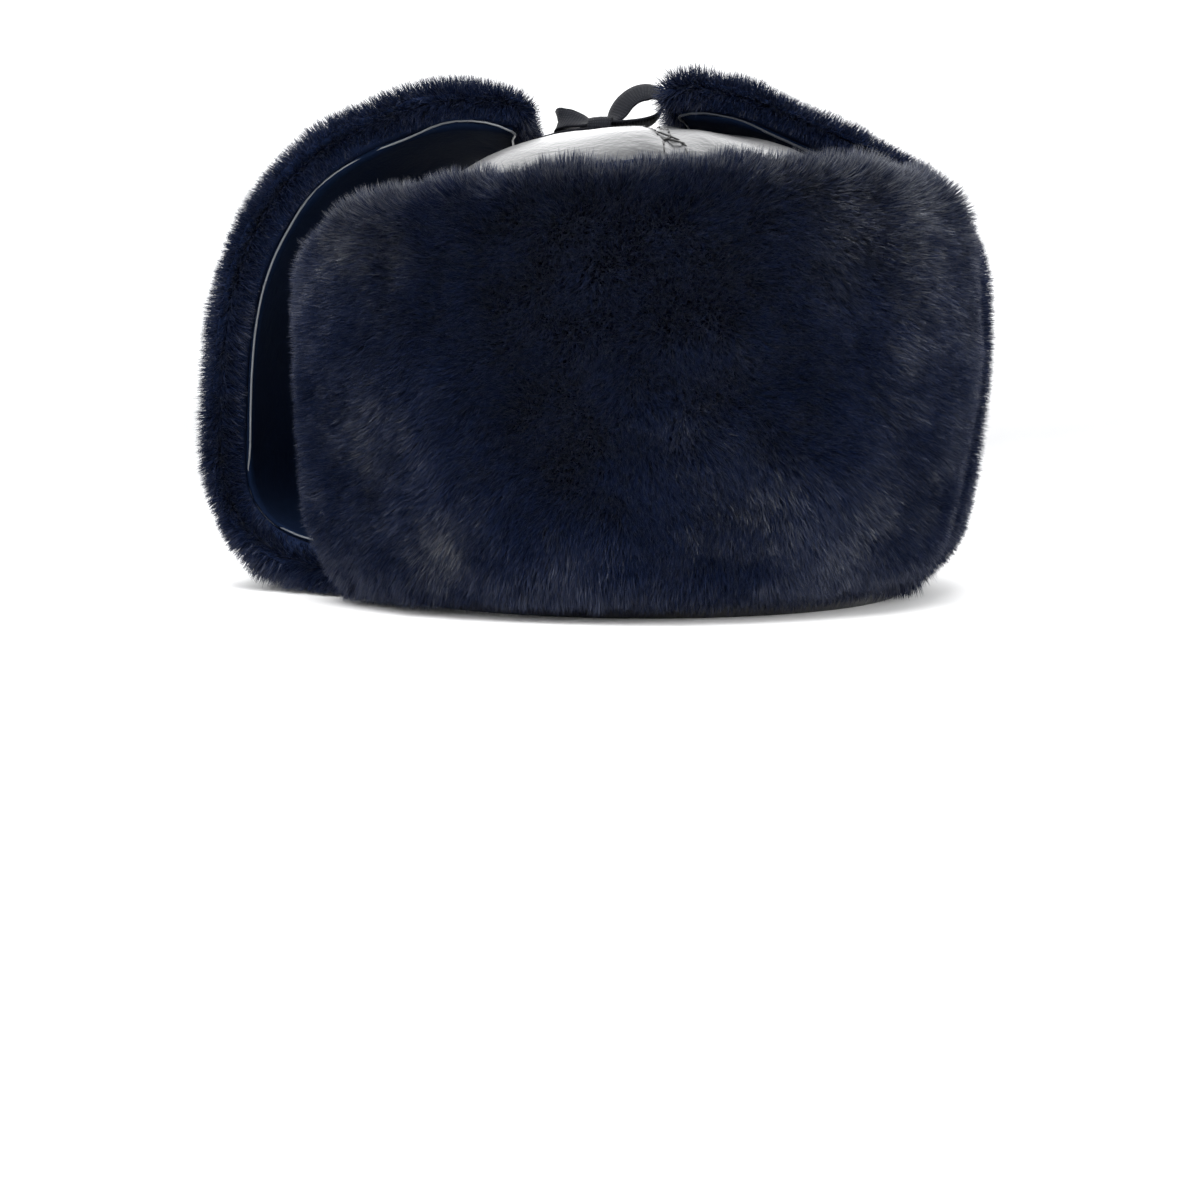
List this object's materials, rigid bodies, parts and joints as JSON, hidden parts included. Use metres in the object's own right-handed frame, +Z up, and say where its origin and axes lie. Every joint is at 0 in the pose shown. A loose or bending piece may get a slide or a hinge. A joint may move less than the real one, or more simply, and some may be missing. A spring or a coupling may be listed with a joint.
{
  "type": "ushanka hat",
  "caption": "Winter hat with a padded leather crown, a plush flap turned up over the forehead, and plush ear flaps turned up and tied with a bow on top.",
  "frame": {"origin": "centre of the head opening, in the plane that the hat rests on", "axes": "+Z up, the hat faces -Y, +X towards the wearer's left"},
  "size_m": [0.2506, 0.2575, 0.1627],
  "materials": {
    "leather": "glossy black, sewn",
    "plush": "deep pile, blue-black",
    "tape": "woven, black"
  },
  "bodies": {
    "root": {"crown": "leather", "front_flap": "plush", "front_facing": "leather", "ear_flap_right": "plush", "ear_flap_left": "plush", "ear_facing_right": "leather", "ear_facing_left": "leather", "tie_right": "tape", "tie_left": "tape", "bow": "tape"}
  },
  "joints": []
}
